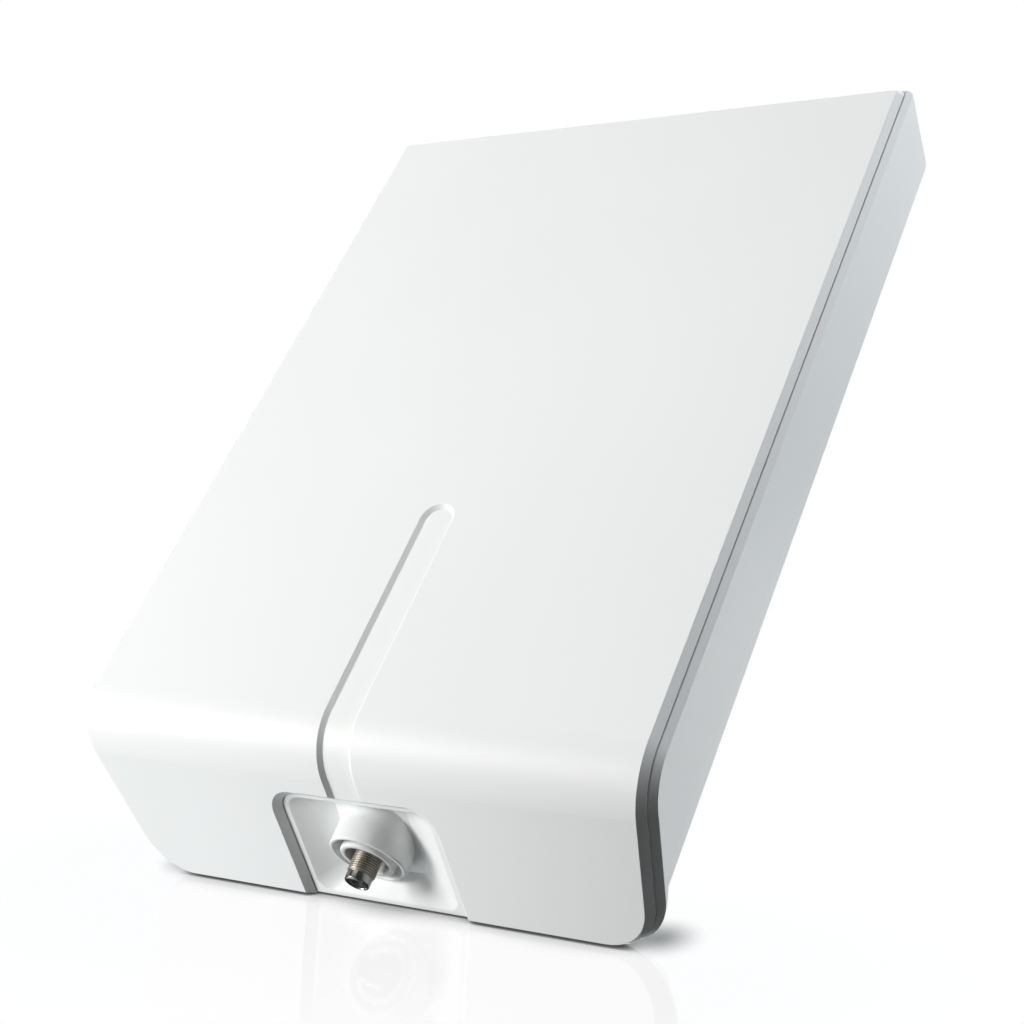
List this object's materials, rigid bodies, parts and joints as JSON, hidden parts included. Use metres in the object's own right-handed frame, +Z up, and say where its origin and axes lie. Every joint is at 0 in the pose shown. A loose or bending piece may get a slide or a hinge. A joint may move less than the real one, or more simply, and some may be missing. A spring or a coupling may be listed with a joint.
{
  "type": "outdoor television antenna",
  "caption": "Flat-panel outdoor television antenna: white moulded housing with a bent front, a recessed threaded aerial socket underneath and a rear mounting pad.",
  "frame": {"origin": "centre of the four threaded inserts, on the face of the rear mounting pad", "axes": "+Y out of the pad towards the wall or mast, so the front of the panel faces -Y; +Z up along the panel's height; +X to the right seen from the front"},
  "size_m": [0.228, 0.0648, 0.3285],
  "materials": {
    "housing": "fine satin moulding",
    "seal": "matte",
    "steel": "zinc plated",
    "brass": "plain",
    "nickel": "nickel plated",
    "insulator": "plain",
    "sheet": "mill finish",
    "carrier": "plain",
    "board": "satin lacquer",
    "chips": "plain",
    "tinplate": "tinned",
    "lead": "smooth jacket"
  },
  "bodies": {
    "root": {"front_cover": "housing", "rear_cover": "housing", "cover_seal": "seal", "connector_gasket": "seal", "cover_screws": "steel", "reflector_screws": "steel", "board_screws": "steel", "connector_washer": "steel", "mount_inserts": "brass", "connector_contact": "brass", "board_spacers": "brass", "connector_body": "nickel", "connector_nut": "nickel", "connector_insulator": "insulator", "reflector_plate": "sheet", "element_upper_left": "sheet", "element_upper_right": "sheet", "element_lower_left": "sheet", "element_lower_right": "sheet", "phasing_line_left": "sheet", "phasing_line_right": "sheet", "element_rivets": "sheet", "carrier_upper": "carrier", "carrier_lower": "carrier", "amplifier_board": "board", "board_components": "chips", "shield_frame": "tinplate", "shield_lid": "tinplate", "socket_lead": "lead"}
  },
  "joints": []
}
